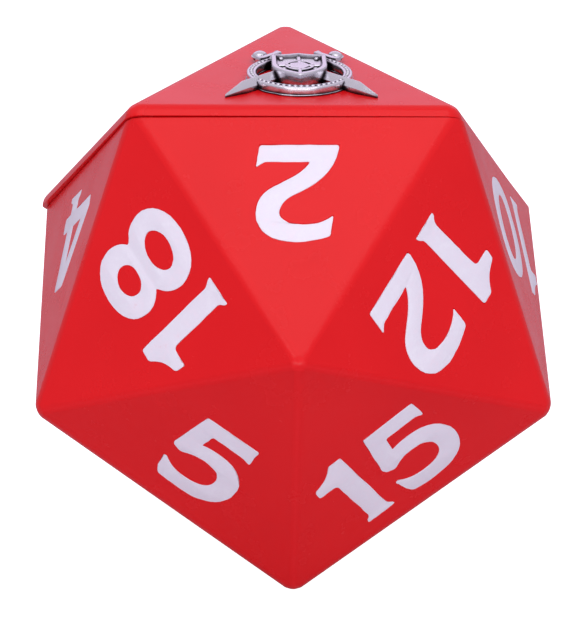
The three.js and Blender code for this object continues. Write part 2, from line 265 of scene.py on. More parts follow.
# %% [markdown]
# ## Red gloss paint
#
# The die is cast and sprayed with a glossy red. Spray leaves slow swings in depth of colour and a
# fine orange peel that softens reflections. The rounded edges are painted a little brighter, partly
# as wear and partly as a painted highlight. The edges are marked by an attribute on the mesh, made
# further down.

# %% Red gloss paint
red_paint, nodes, links, shader = new_material("red_gloss_paint")
place = nodes.new("ShaderNodeTexCoord").outputs["Object"]
slow = noise_at(nodes, links, place, 40 * mm, 2)
depth_of_red = ramp(
    nodes, links, slow, [(0.3, (0.73, 0.0065, 0.0095)), (0.7, (0.78, 0.0085, 0.0115))]
)
edge_mark = add_node(nodes, "ShaderNodeAttribute", attribute_name="rounded_edge").outputs["Fac"]
speck = noise_at(nodes, links, place, 1.2 * mm, 4, 0.7)
speckled_edge = product(nodes, links, edge_mark, speck)
# Brighter red on the rounded edges: partly wear, partly a painted highlight along the edges.
wear_and_highlight = map_range(nodes, links, speckled_edge, 0.2, 0.8, 0, 0.3)
worn_and_lit_edge = add_node(nodes, "ShaderNodeMix", data_type="RGBA")
worn_and_lit_edge.inputs["B"].default_value = (0.88, 0.025, 0.033, 1)
links.new(wear_and_highlight, worn_and_lit_edge.inputs["Factor"])
links.new(depth_of_red, worn_and_lit_edge.inputs["A"])
links.new(worn_and_lit_edge.outputs["Result"], shader.inputs["Base Color"])
handling = noise_at(nodes, links, place, 12 * mm, 6, 0.6)
links.new(map_range(nodes, links, handling, 0.3, 0.7, 0.2, 0.3), shader.inputs["Roughness"])
shader.inputs["IOR"].default_value = 1.3
orange_peel = noise_at(nodes, links, place, 2.2 * mm, 2)
pinholes = noise_at(nodes, links, place, 0.35 * mm, 2)
peel = bump(nodes, links, orange_peel, 0.08, 0.1 * mm)
links.new(bump(nodes, links, pinholes, 0.03, 0.05 * mm, peel), shader.inputs["Normal"])
print("made", red_paint.name)

# %% [markdown]
# ## White enamel
#
# The numerals are filled by hand with a brush. The enamel is a cool white, thinner in some
# strokes so that a breath of red shows through, with brush lines that follow no numeral in
# particular. Stretched noise makes the strokes.

# %% White enamel
white_enamel, nodes, links, shader = new_material("white_brushed_enamel")
place = nodes.new("ShaderNodeTexCoord").outputs["Object"]
strokes_place = add_node(nodes, "ShaderNodeMapping")
strokes_place.inputs["Rotation"].default_value = (radians(20), radians(35), radians(50))
strokes_place.inputs["Scale"].default_value = (1, 0.22, 1)
links.new(place, strokes_place.inputs["Vector"])
strokes = noise_at(nodes, links, strokes_place.outputs["Vector"], 1.5 * mm, 5, 0.65)
blotches = noise_at(nodes, links, place, 5 * mm, 4, 0.6)
thickness = product(nodes, links, strokes, blotches)
thin_to_thick = [
    (0.08, (0.78, 0.62, 0.7)),
    (0.14, (0.84, 0.77, 0.86)),
    (0.24, (0.81, 0.77, 0.86)),
    (0.4, (0.84, 0.81, 0.89)),
]
links.new(ramp(nodes, links, thickness, thin_to_thick), shader.inputs["Base Color"])
links.new(map_range(nodes, links, blotches, 0.3, 0.7, 0.35, 0.6), shader.inputs["Roughness"])
links.new(bump(nodes, links, strokes, 0.5, 0.15 * mm), shader.inputs["Normal"])
print("made", white_enamel.name)

# %% [markdown]
# ## Antique silver
#
# The emblem is cast metal with a dark wash: the wash stays in the recesses and is wiped off the
# high places. Ambient occlusion finds the recesses, and noise breaks the border of the wash.

# %% Antique silver
silver, nodes, links, shader = new_material("antique_silver")
place = nodes.new("ShaderNodeTexCoord").outputs["Object"]
shelter = add_node(nodes, "ShaderNodeAmbientOcclusion", {"Distance": 2.2 * mm}, samples=16)
smudge = noise_at(nodes, links, place, 2.6 * mm, 3, 0.5)
wiped = add_node(nodes, "ShaderNodeMath", operation="MULTIPLY_ADD")
links.new(smudge, wiped.inputs[0])
wiped.inputs[1].default_value = 0.36
links.new(shelter.outputs["AO"], wiped.inputs[2])
wash_to_silver = [
    (0.5, (0.012, 0.01, 0.014)),
    (0.74, (0.07, 0.055, 0.07)),
    (0.9, (0.3, 0.285, 0.32)),
    (1.0, (0.68, 0.66, 0.72)),
]
links.new(ramp(nodes, links, wiped.outputs[0], wash_to_silver), shader.inputs["Base Color"])
shader.inputs["Metallic"].default_value = 0.9
links.new(map_range(nodes, links, smudge, 0.3, 0.7, 0.14, 0.3), shader.inputs["Roughness"])
casting = noise_at(nodes, links, place, 1.3 * mm, 2)
links.new(bump(nodes, links, casting, 0.25, 0.12 * mm), shader.inputs["Normal"])
print("made", silver.name)

# %% [markdown]
# ## Black felt
#
# Felt is matted fibre: no weave, but a nap that is paler where fibres stand up, and a soft
# sheen at the rim.

# %% Black felt
felt, nodes, links, shader = new_material("black_felt")
place = nodes.new("ShaderNodeTexCoord").outputs["Object"]
fibres = noise_at(nodes, links, place, 0.5 * mm, 8, 0.75)
matting = noise_at(nodes, links, place, 6 * mm, 3)
nap = product(nodes, links, fibres, matting)
flat_to_raised = [(0.15, (0.006, 0.006, 0.008)), (0.4, (0.05, 0.048, 0.056))]
links.new(ramp(nodes, links, nap, flat_to_raised), shader.inputs["Base Color"])
shader.inputs["Roughness"].default_value = 0.95
shader.inputs["Sheen Weight"].default_value = 0.4
shader.inputs["Sheen Roughness"].default_value = 0.5
links.new(bump(nodes, links, fibres, 0.8, 0.3 * mm), shader.inputs["Normal"])
print("made", felt.name)

# %% [markdown]
# ## Working in edit mode from code
#
# An operator acts on whatever is selected, so each step first says what that is. These helpers
# select objects, and faces or edges by their place, the way one would click them.


# %% Helpers for selecting
def pick(*objects):
    """Only these objects are selected, and the first one is active."""
    bpy.ops.object.select_all(action="DESELECT")
    for thing in objects:
        thing.select_set(True)
    bpy.context.view_layer.objects.active = objects[0]


def edit_all(thing):
    pick(thing)
    bpy.ops.object.mode_set(mode="EDIT")
    bpy.ops.mesh.select_all(action="SELECT")


def edit_some(thing, mode, wanted):
    """Edit mode with only the faces, edges or vertices that wanted() accepts."""
    edit_all(thing)
    bpy.ops.mesh.select_mode(type=mode)
    bpy.ops.mesh.select_all(action="DESELECT")
    bpy.ops.object.mode_set(mode="OBJECT")
    elements = {"FACE": thing.data.polygons, "EDGE": thing.data.edges, "VERT": thing.data.vertices}
    for element in elements[mode]:
        element.select = wanted(element)
    bpy.ops.object.mode_set(mode="EDIT")


def leave_edit():
    bpy.ops.object.mode_set(mode="OBJECT")


def settle(thing, name=None, place=None):
    """Puts the object's place into its mesh, and gives it its name."""
    pick(thing)
    if place is not None:
        thing.matrix_world = place @ thing.matrix_world
        bpy.context.view_layer.update()
    bpy.ops.object.transform_apply(location=True, rotation=True, scale=True)
    if name:
        thing.name = name
    return thing


def settle_new(name, scale=(1, 1, 1)):
    """Scales the object that was just added about its own middle, and settles it."""
    bpy.context.object.scale = scale
    return settle(bpy.context.object, name)


def copy_of(thing, name):
    pick(thing)
    bpy.ops.object.duplicate()
    bpy.context.object.name = name
    return bpy.context.object


def joined(things, name):
    pick(*things)
    bpy.ops.object.join()
    things[0].name = name
    return things[0]


def apply_modifier(thing, kind, **settings):
    pick(thing)
    bpy.ops.object.modifier_add(type=kind)
    modifier = thing.modifiers[-1]
    for key, value in settings.items():
        setattr(modifier, key, value)
    bpy.ops.object.modifier_apply(modifier=modifier.name)


def combine(thing, operation, tool):
    """Cuts or joins with another object, and removes that object."""
    apply_modifier(thing, "BOOLEAN", operation=operation, object=tool, solver="MANIFOLD")
    bpy.data.objects.remove(tool)


print("selection helpers ready")

# %% [markdown]
# ## The twenty-sided form
#
# An ico sphere with one subdivision is exactly a twenty-sided die. It is added turned, so that
# its own axis is the lid's axis. The level face is lifted a hair, as the casting has it, and all
# thirty edges are bevelled. The bevel's offset follows from the radius and the angle between two
# faces. The long edges are then divided, which lays a net of small triangles over each face: the
# numerals cut into it later leave small plain faces, and none with a hole in it.


# %% The rounded die
def twenty_sides(inradius, name):
    turn = Matrix((down_back, -along_x, lid_axis)).transposed()
    bpy.ops.mesh.primitive_ico_sphere_add(
        subdivisions=1,
        radius=inradius * corner_reach,
        location=middle,
        rotation=turn.to_euler(),
    )
    return settle_new(name)


half_fold = radians(41.81) / 2
rounding_steps = 8
face_cuts = 8
facing = 0.99


def round_edges(thing, radius, steps):
    edit_all(thing)
    bpy.ops.mesh.select_mode(type="EDGE")
    bpy.ops.mesh.bevel(
        offset_type="OFFSET", offset=radius * tan(half_fold), segments=steps, affect="EDGES"
    )
    leave_edit()


def long_edge(thing, least):
    """A test that accepts this mesh's edges from a certain length."""
    points = thing.data.vertices
    return lambda edge: (points[edge.vertices[0]].co - points[edge.vertices[1]].co).length > least


rounded_die = twenty_sides(inradius, "rounded_die")
edit_some(rounded_die, "FACE", lambda face: face.normal.z > facing)
bpy.ops.transform.translate(value=(0, 0, top_rise))
leave_edit()
round_edges(rounded_die, edge_radius, rounding_steps)
edit_some(rounded_die, "EDGE", long_edge(rounded_die, edge_of(inradius) / 2))
bpy.ops.mesh.subdivide(number_cuts=face_cuts)
leave_edit()
print("rounded die:", len(rounded_die.data.polygons), "faces")

# %% [markdown]
# ## Parting the die
#
# Bisect cuts each copy at the seam and closes the cut with one flat face. The sharp rim of that
# face is broken with a narrow bevel, which is what makes the seam read as a real joint: two soft
# lips with a dark line between them.

# %% Body and lid blanks
rim_softness = 0.14 * mm
facing_squarely = 0.999


def half_of_die(name, keep_lid):
    half = copy_of(rounded_die, name)
    edit_all(half)
    bpy.ops.mesh.bisect(
        plane_co=seam_frame.translation,
        plane_no=lid_axis,
        use_fill=True,
        clear_inner=keep_lid,
        clear_outer=not keep_lid,
    )
    leave_edit()
    edit_some(half, "FACE", lambda face: abs(face.normal.dot(lid_axis)) > facing_squarely)
    bpy.ops.mesh.select_mode(type="FACE")
    bpy.ops.mesh.region_to_loop()
    bpy.ops.mesh.bevel(offset=rim_softness, segments=3, affect="EDGES")
    leave_edit()
    return half


body_shell = half_of_die("dice_box_body", keep_lid=False)
lid_shell = half_of_die("dice_box_lid", keep_lid=True)
bpy.data.objects.remove(rounded_die)
print("blanks:", len(body_shell.data.polygons), len(lid_shell.data.polygons), "faces")

# %% [markdown]
# ## Hollows, mouth and lip
#
# A smaller die cut out of the body leaves an even wall. The mouth is a straight five-sided
# opening, and the lid has a five-sided lip that drops into it with a little play. A cylinder with
# few sides, its upright edges rounded, serves for all of them and later for the felt pad.

# %% Hollow the body and the lid
body_wall = 5.5 * mm
lid_wall = 8 * mm
lip_depth = 4.5 * mm
lip_wall = 2.8 * mm
lip_root = 3 * mm
lip_play = 2 * mm
mouth_depth = 7 * mm
mouth_corner_radius = 4 * mm
inner_rounding = 3 * mm
inner_steps = 4
prism_steps = 6
mouth_inradius = edge_of(inradius - body_wall) / (2 * tan(pi / 5))
lip_inradius = mouth_inradius - lip_play


def rounded_prism(sides, inradius, corner_radius, bottom, top, place, name):
    """An upright prism whose upright edges are rounded, put in its place."""
    rise = top - bottom
    bpy.ops.mesh.primitive_cylinder_add(
        vertices=sides,
        radius=inradius / cos(pi / sides),
        depth=rise,
        location=(0, 0, (top + bottom) / 2),
    )
    prism = settle_new(name)

    def upright(edge):
        first, second = (prism.data.vertices[i].co for i in edge.vertices)
        return abs(abs(first.z - second.z) - rise) < rise / 100

    edit_some(prism, "EDGE", upright)
    bpy.ops.mesh.bevel(
        offset=corner_radius * tan(pi / sides), segments=prism_steps, affect="EDGES"
    )
    leave_edit()
    return settle(prism, name, place)


def five_sided_plug(inradius, bottom, top, name):
    return rounded_prism(5, inradius, mouth_corner_radius, bottom, top, seam_frame, name)


body_hollow = twenty_sides(inradius - body_wall, "body_hollow")
round_edges(body_hollow, inner_rounding, inner_steps)
combine(body_shell, "DIFFERENCE", body_hollow)
mouth = five_sided_plug(mouth_inradius, -mouth_depth, edge_radius, "mouth")
combine(body_shell, "DIFFERENCE", mouth)

lid_hollow = twenty_sides(inradius - lid_wall, "lid_hollow")
round_edges(lid_hollow, inner_rounding, inner_steps)
edit_all(lid_hollow)
bpy.ops.mesh.bisect(
    plane_co=seam_frame.translation + lid_axis * lip_root,
    plane_no=lid_axis,
    use_fill=True,
    clear_inner=True,
)
leave_edit()
combine(lid_shell, "UNION", five_sided_plug(lip_inradius, -lip_depth, lip_root, "lip"))
combine(
    lid_shell,
    "DIFFERENCE",
    five_sided_plug(lip_inradius - lip_wall, -mouth_depth, lip_root + edge_radius, "lip_inside"),
)
combine(lid_shell, "DIFFERENCE", lid_hollow)
print("hollowed:", len(body_shell.data.polygons), len(lid_shell.data.polygons), "faces")

# %% [markdown]
# ## Digits
#
# Each digit is drawn once as a closed outline in hundredths of its height, from its lower left.
# A part of an outline is a straight line to [x, y], a quadratic curve [control, end] or a cubic
# curve [control, control, end]. Openings are outlines too, or ellipses [x, y, half width, half
# height]. Bezier splines draw all of these exactly.

# %% Outlines of the ten digits
six_outline = [
    [72, 80], [74, 97], [66, 99, 60, 100, 54, 100], [22, 100, 0, 76, 0, 38], [0, 14, 16, 0, 41, 0],
    [64, 0, 80, 13, 80, 33], [80, 52, 66, 64, 46, 64], [36, 64, 28, 61, 23, 56],
    [26, 73, 38, 82.5, 56, 82.5], [62, 82.5, 67, 82, 72, 80],
]  # fmt: skip


def turned(outline, width):
    """The outline turned by half a turn within its box."""
    return [[(100 if i % 2 else width) - value for i, value in enumerate(part)] for part in outline]


# fmt: off
digits = {
    "0": {"width": 86, "ellipses": [[43, 50, 21.5, 33]], "outlines": [[
        [43, 0], [70, 0, 86, 20, 86, 50], [86, 80, 70, 100, 43, 100],
        [16, 100, 0, 80, 0, 50], [0, 20, 16, 0, 43, 0]]]},
    "1": {"width": 46, "outlines": [[
        [15, 0], [46, 0], [45, 3.5], [41, 6, 41, 12], [41.5, 100], [28, 100],
        [22, 91, 15, 85, 2, 82], [0, 71], [15, 71], [20.5, 71, 20.5, 65], [20.5, 12],
        [20.5, 6, 16, 3.5]]]},
    "2": {"width": 78, "outlines": [[
        [1, 0], [74, 0], [78, 23], [70, 17.5], [28, 17.5], [36, 32, 54, 38, 66, 46],
        [74, 52, 78.5, 61, 78.5, 71], [78.5, 90, 64, 100, 43, 100], [31, 100, 20, 97, 11, 94],
        [8, 73], [14, 79, 24, 82.5, 36, 82.5], [49, 82.5, 57, 78, 57, 70],
        [57, 61, 50, 55, 42, 51], [24, 41.5, 5, 29, 1, 0]]]},
    "3": {"width": 76, "outlines": [[
        [5, 5], [14, 1.5, 24, 0, 34, 0], [60, 0, 76, 11, 76, 30], [76, 42, 68, 50, 56, 54],
        [66, 59, 71, 66, 71, 76], [71, 91, 57, 100, 37, 100], [26, 100, 16, 98, 9, 95], [6, 75],
        [13, 80, 22, 83, 33, 83], [44, 83, 50, 79, 50, 72.5], [50, 64, 42, 60, 28, 60], [28, 45],
        [46, 45, 54, 40, 54, 31], [54, 21, 45, 17, 32, 17], [20, 17, 10, 20, 3, 28]]]},
    "4": {"width": 90, "outlines": [
        [[48, 0], [83, 0], [82, 5], [74, 8], [74, 19.5], [90, 19.5], [88, 36.5], [74, 36.5],
         [75, 100], [49, 100], [0, 31], [3, 19.5], [53, 19.5], [53, 8], [48, 5]],
        [[26, 36.5], [53, 76], [53, 36.5]]]},
    "5": {"width": 76, "outlines": [[
        [8, -2], [14, -3.5, 20, -4, 27, -4], [40, -4, 50, -3.5, 57, 1], [69, 6, 76, 18, 76, 33],
        [76, 54, 61, 67, 42, 67], [33, 67, 27, 66, 21, 64], [24, 82.5], [57, 82.5], [66, 79],
        [65, 101], [8, 100], [0, 48], [2, 43], [11, 40], [18, 46, 26, 48, 34, 48],
        [47, 48, 55, 42, 55, 32], [55, 20, 45, 13.5, 30, 13.5], [20, 13.5, 12, 15, 4, 24],
        [1, 23], [2, 15, 4, 6]]]},
    "6": {"width": 80, "ellipses": [[41, 32, 19, 15.5]], "outlines": [six_outline]},
    "7": {"width": 76, "outlines": [[
        [16, 0], [40, 0], [46, 30, 58, 58, 76, 84], [76, 100], [4, 100], [2, 76], [11, 82.5],
        [52, 82.5], [34, 58, 20, 30, 16, 0]]]},
    "8": {"width": 83, "ellipses": [[41, 72.5, 16, 12.5], [41.5, 29, 21, 13.5]], "outlines": [[
        [16.5, 53], [8, 58, 4, 65, 4, 74], [4, 91, 19, 102, 41, 102],
        [63, 102, 78, 91, 78, 74], [78, 65, 74, 58, 67, 53], [77, 47, 83, 39, 83, 28],
        [83, 10, 66, -2, 41.5, -2], [17, -2, 0, 10, 0, 28], [0, 39, 6, 47, 16.5, 53]]]},
    "9": {"width": 80, "ellipses": [[39, 68, 19, 15.5]], "outlines": [turned(six_outline, 80)]},
}
# fmt: on
print("digits drawn:", " ".join(digits))

# %% [markdown]
# ## From outline to flat curve
#
# A spline gets one point for each part of the outline, with the handles that the part asks for.
# A quadratic curve's one control point gives two handles, each two thirds of the way to it. An
# ellipse is four points with the usual handle length.

# %% Helpers that draw a flat curve
numeral_height = 29.5 * mm
unit = numeral_height / 100
circle_handle = 4 / 3 * (sqrt(2) - 1)
merge_distance = 0.001 * mm


def segments_of(outline):
    """The four points of a cubic curve for each part of a closed outline."""
    here = first = Vector(outline[0])
    found = []
    for part in outline[1:]:
        *controls, end = [Vector(part[i : i + 2]) for i in range(0, len(part), 2)]
        if not controls:
            controls = [here.lerp(end, 1 / 3), here.lerp(end, 2 / 3)]
        if len(controls) == 1:
            controls = [here.lerp(controls[0], 2 / 3), end.lerp(controls[0], 2 / 3)]
        found.append([here, *controls, end])
        here = end
    if (here - first).length > 1e-6:
        found.append([here, here.lerp(first, 1 / 3), here.lerp(first, 2 / 3), first])
    return found


def cut_at(points, share):
    """A curve's points before and after this share of it."""
    before, after = [], []
    while points:
        before.append(points[0])
        after.insert(0, points[-1])
        points = [one.lerp(other, share) for one, other in zip(points, points[1:])]
    return before, after


sharp_turn = radians(20)
most_rounded = 0.4


def softened(segments, reach):
    """The same closed outline, with every sharp corner rounded over this reach."""
    count = len(segments)
    turns = []
    for i, segment in enumerate(segments):
        following = segments[(i + 1) % count]
        arriving = segment[3] - segment[2]
        turns.append(arriving.angle(following[1] - following[0]) > sharp_turn)
    trimmed = []
    for i, segment in enumerate(segments):
        share = min(most_rounded, reach / (segment[3] - segment[0]).length)
        if turns[i]:
            segment = cut_at(segment, 1 - share)[0]
        if turns[i - 1]:
            segment = cut_at(segment, share)[1]
        trimmed.append(segment)
    found = []
    for i, segment in enumerate(trimmed):
        found.append(segment)
        if turns[i]:
            corner = segments[i][3]
            start, end = segment[3], trimmed[(i + 1) % count][0]
            found.append([start, start.lerp(corner, 2 / 3), end.lerp(corner, 2 / 3), end])
    return found


def ellipse_outline(x, y, half_width, half_height):
    wide = half_width * circle_handle
    tall = half_height * circle_handle
    right, left = x + half_width, x - half_width
    top, bottom = y + half_height, y - half_height
    return [
        [right, y],
        [right, y + tall, x + wide, top, x, top],
        [x - wide, top, left, y + tall, left, y],
        [left, y - tall, x - wide, bottom, x, bottom],
        [x + wide, bottom, right, y - tall, right, y],
    ]


def flat_curve(name, outlines, scale, soft=0.0, **settings):
    """A filled flat curve through closed outlines, its corners rounded over a soft reach."""
    bpy.ops.curve.primitive_bezier_curve_add()
    drawn = bpy.context.object
    drawn.name = name
    drawn.data.dimensions = "2D"
    drawn.data.fill_mode = "BOTH"
    drawn.data.splines.clear()
    for outline in outlines:
        segments = segments_of(outline)
        if soft:
            segments = softened(segments, soft / scale)
        spline = drawn.data.splines.new("BEZIER")
        spline.bezier_points.add(len(segments) - 1)
        spline.use_cyclic_u = True
        for i, (_, leaving, arriving, end) in enumerate(segments):
            start_point = spline.bezier_points[i]
            end_point = spline.bezier_points[(i + 1) % len(segments)]
            for point in (start_point, end_point):
                point.handle_left_type = "FREE"
                point.handle_right_type = "FREE"
            end_point.co = (*(end * scale), 0)
            start_point.handle_right = (*(leaving * scale), 0)
            end_point.handle_left = (*(arriving * scale), 0)
    for key, value in settings.items():
        setattr(drawn.data, key, value)
    return drawn


def as_mesh(drawn, name):
    pick(drawn)
    bpy.ops.object.convert(target="MESH")
    solid = bpy.context.object
    solid.name = name
    edit_all(solid)
    bpy.ops.mesh.remove_doubles(threshold=merge_distance)
    bpy.ops.mesh.normals_make_consistent(inside=False)
    leave_edit()
    return solid


def loops_of(digit):
    return digits[digit]["outlines"] + [
        ellipse_outline(*ellipse) for ellipse in digits[digit].get("ellipses", [])
    ]


underline_drop = 3.4 * mm
underline_height = 3.4 * mm


def underline_loop(digit):
    top = -underline_drop / unit
    bottom = top - underline_height / unit
    right = digits[digit]["width"]
    return [[0, bottom], [right, bottom], [right, top], [0, top]]


print("curve helpers ready")

# %% [markdown]
# ## Engraving tools and enamel fills
#
# Each shape gives three solids: a straight cutter for the recess, a thin flared one that breaks
# the recess's rim so that it catches light, and the enamel. The enamel is laid by hand with a
# full brush: it fills the recess to the rim and a little over it, its border wanders and its
# corners are soft. So it is a plate from a slightly grown outline with rounded shoulders, and
# clouds displace its border. Each plate is displaced in its own part of the clouds, so that no
# two equal digits wander alike.

# %% Tools and fills from one set of outlines
numeral_depth = 1.5 * mm
rim_break = 0.22 * mm
enamel_proud = 0.05 * mm
enamel_spill = 0.06 * mm
enamel_roundness = 0.12 * mm
enamel_corner = 0.9 * mm
wander = 0.5 * mm
wander_size = 3.2 * mm
cloud_step_x = 0.05
cloud_step_y = 0.08
cutter_height = 4 * mm
curve_steps = 8
cast_corner = 0.4 * mm


def recess_tool(name, loops):
    height = numeral_depth + cutter_height
    tool = as_mesh(
        flat_curve(name, loops, unit, cast_corner, extrude=height / 2, resolution_u=curve_steps),
        name,
    )
    return settle(tool, name, Matrix.Translation((0, 0, height / 2 - numeral_depth)))


def rim_tool(name, loops):
    tool = as_mesh(
        flat_curve(
            name,
            loops,
            unit,
            cast_corner,
            extrude=cutter_height / 2,
            bevel_depth=rim_break,
            bevel_resolution=0,
            resolution_u=curve_steps,
        ),
        name,
    )
    return settle(tool, name, Matrix.Translation((0, 0, cutter_height / 2)))


def wander_texture(name):
    texture = bpy.data.textures.new(name, "CLOUDS")
    texture.noise_scale = wander_size
    texture.noise_depth = 1
    return texture


sideways_wander = wander_texture("sideways_wander")


def move_border(thing, reach):
    """Clouds push the thing's points sideways, by up to half this reach either way."""
    for direction in ("X", "Y"):
        apply_modifier(
            thing,
            "DISPLACE",
            texture=sideways_wander,
            texture_coords="LOCAL",
            direction=direction,
            strength=reach,
            mid_level=0.5,
        )


def enamel_fill(name, loops, count):
    """A soft-cornered plate in the recess. Its count says which part of the clouds moves it."""
    height = numeral_depth + enamel_proud
    plate = flat_curve(
        name,
        loops,
        unit,
        enamel_corner,
        extrude=height / 2 - enamel_roundness,
        bevel_depth=enamel_roundness,
        bevel_resolution=2,
        offset=enamel_spill - enamel_roundness,
        resolution_u=curve_steps,
    )
    away = Vector((cloud_step_x * count, cloud_step_y * count, enamel_proud - height / 2))
    fill = settle(as_mesh(plate, name), name, Matrix.Translation(away))
    move_border(fill, wander)
    return settle(fill, name, Matrix.Translation((-away.x, -away.y, 0)))


print("recess", numeral_depth / mm, "mm deep, enamel proud by", enamel_proud / mm, "mm")

# %% [markdown]
# ## Where each number sits
#
# A number is centred on its face under one of the face's corners, which points up for the
# reader. Opposite faces add up to twenty-one. The twenty gives way to the emblem, and the one
# would be under the pad. Small shifts follow the casting.

# %% Numbers and their faces
digit_space = 4.2 * mm
# number: (the face's corners, the last one above the number; raise, shift to the right; turn)
numbers = {
    "2": ("A B F", 0.4, -0.65, 0),
    "3": ("D A2 H", -1, 0, 0),
    "4": ("A G L", -0.3, -3.1, 0),
    "5": ("L C2 F", -0.8, 1.1, 0),
    "6": ("D C G", 2, 0, 0),
    "7": ("C2 A2 R", -1, 0, 0),
    "8": ("B C H", -1, 0, 0),
    "9": ("D B2 G", 2, 0, 0),
    "10": ("B H R", -2, -2, 0),
    "11": ("L B2 G", -2.5, 0, 0),
    "12": ("F B R", -0.8, 0, 0),
    "13": ("C2 B2 L", -2.5, 0, 0),
    "14": ("A C G", -2.5, 0, 0),
    "15": ("R C2 F", -3.6, -0.15, 3),
    "16": ("D C H", -2.5, 0, 0),
    "17": ("R A2 H", -2.5, 0, 0),
    "18": ("A F L", -3, -0.7, 0),
    "19": ("A2 B2 D", -2.5, 0, 0),
}
numbers_on_lid = ["6", "8", "14", "16"]
name_starts = {1: ["numeral_"], 2: ["tens_of_", "units_of_"]}


def frame_of_number(number):
    face_corners, rise, shift, turn = numbers[number]
    face = [corners[name] for name in face_corners.split()]
    face_middle = sum(face, Vector()) / 3
    up = (face[2] - face_middle).normalized()
    flat = frame_at(middle + face_middle, face_middle.normalized(), up)
    moved = flat @ Matrix.Translation((shift * mm, rise * mm, 0))
    return moved @ Matrix.Rotation(radians(turn), 4, "Z")


tools = {"body": {"recess": [], "rim": []}, "lid": {"recess": [], "rim": []}}
fills = {"body": [], "lid": []}


def make_shape(name, loops, place, home):
    tools[home]["recess"].append(settle(recess_tool("recess", loops), place=place))
    tools[home]["rim"].append(settle(rim_tool("rim", loops), place=place))
    count = len(fills["body"]) + len(fills["lid"])
    fills[home].append(settle(enamel_fill("enamel_" + name, loops, count), place=place))


for number in numbers:
    home = "lid" if number in numbers_on_lid else "body"
    widths = [digits[digit]["width"] * unit for digit in number]
    left = -(sum(widths) + digit_space * (len(number) - 1)) / 2
    for digit, width, name_start in zip(number, widths, name_starts[len(number)]):
        lower_left = frame_of_number(number) @ Matrix.Translation((left, -numeral_height / 2, 0))
        make_shape(name_start + number, loops_of(digit), lower_left, home)
        if number in ("6", "9"):
            make_shape("underline_" + number, [underline_loop(digit)], lower_left, home)
        left += width + digit_space
print("fills on the body:", len(fills["body"]), "and on the lid:", len(fills["lid"]))

# %% [markdown]
# ## Engraving
#
# All tools of one kind are joined, so that each shell is cut only twice: once with the straight
# recesses and once with the flared rims.

# %% Engrave both shells
for shell, home in ((body_shell, "body"), (lid_shell, "lid")):
    for kind in ("recess", "rim"):
        combine(shell, "DIFFERENCE", joined(tools[home][kind], home + "_" + kind))
    print(shell.name, "has", len(shell.data.polygons), "faces")

# %% [markdown]
# ## Felt pad and its recess
#
# The pad is a rounded triangle let into the bottom face, standing a little proud so that the
# die rests on felt. The rounded prism, now with three sides, is both the recess and the pad.
# The pad's underside is divided and made slightly uneven, as cut felt is.

# %% Felt pad
felt_low, felt_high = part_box("base_felt")
felt_thickness = felt_high.z - felt_low.z
pad_gap = 0.3 * mm
pad_margin = 9 * mm
pad_corner_radius = 5 * mm
pad_border = 0.5 * mm
pad_cuts = 24
nap_height = 0.16 * mm
close = 0.01 * mm
pad_inradius = edge_of(inradius) / (2 * sqrt(3)) - pad_margin
pad_frame = frame_at(Vector((0, 0, felt_low.z)), Vector((0, 0, 1)), Vector((0, -1, 0)))

pad_recess = rounded_prism(
    3,
    pad_inradius + pad_gap,
    pad_corner_radius + pad_gap,
    -felt_thickness,
    felt_thickness + pad_gap,
    pad_frame,
    "pad_recess",
)
combine(body_shell, "DIFFERENCE", pad_recess)

felt_pad = rounded_prism(
    3, pad_inradius, pad_corner_radius, 0, felt_thickness, pad_frame, "felt_pad"
)
edit_some(felt_pad, "FACE", lambda face: face.normal.z < -facing)
bpy.ops.mesh.inset(thickness=pad_border)
bpy.ops.mesh.quads_convert_to_tris()
bpy.ops.mesh.subdivide(number_cuts=pad_cuts)
leave_edit()
felt_nap = wander_texture("felt_nap")
underside = felt_pad.vertex_groups.new(name="underside")
lowest = [point.index for point in felt_pad.data.vertices if point.co.z < felt_low.z + close]
underside.add(lowest, 1.0, "REPLACE")
apply_modifier(
    felt_pad,
    "DISPLACE",
    texture=felt_nap,
    texture_coords="LOCAL",
    direction="Z",
    strength=nap_height,
    mid_level=0.0,
    vertex_group="underside",
)
print("felt pad:", len(felt_pad.data.polygons), "faces")

# %% [markdown]
# ## Emblem
#
# A beaded ring, a shield with a raised rim and two swords crossed behind it, cast as one and
# glued to the lid's level face. Each is modelled flat about the emblem's own middle, in that
# face's frame, and put in place at the end.

# %% Sizes of the emblem
emblem_spot = Vector((2.3 * mm, -1 * mm, inradius + top_rise))
emblem_place = lid_place @ Matrix.Translation(middle + emblem_spot)
emblem_height = 4.4 * mm
ring_radius = 14.8 * mm
ring_width = 2.6 * mm
ring_drop = 1.7 * mm
ring_height = 2.6 * mm
shield_width = 15.5
shield_height = 20
sword_height = 3.2 * mm
sword_crossing = 4 * mm
sword_angle = radians(46)
shield_fullness = 0.6
tip_reach = 30.5 * mm
guard_reach = 10.8 * mm
pommel_reach = 15.4 * mm
blade_width = 3.6 * mm
grip_width = 2.6 * mm
guard_length = 8.6 * mm
guard_width = 2.4 * mm
pommel_radius = 2.2 * mm


def circle_loop(radius):
    return ellipse_outline(0, 0, radius / mm, radius / mm)


print("emblem is", round(emblem_height / mm, 1), "mm high")

# %% [markdown]
# The ring is a flat curve with rounded shoulders. Its top is inset and sunk into a channel, and
# a row of beads is set in the channel. One bead is modelled and copied round. A thin foot with
# an uneven border, moved by the clouds, spreads under the ring as solder or glue does.

# %% Beaded ring
ring_shoulder = 0.5 * mm
channel_border = 0.25 * mm
channel_slope = 0.08 * mm
channel_depth = 0.5 * mm
foot_height = 0.5 * mm
foot_shoulder = 0.15 * mm
foot_spread = 0.35 * mm
foot_wander = 0.9 * mm
bead_radius = 0.72 * mm
bead_sink = 0.35 * mm
bead_count = 52


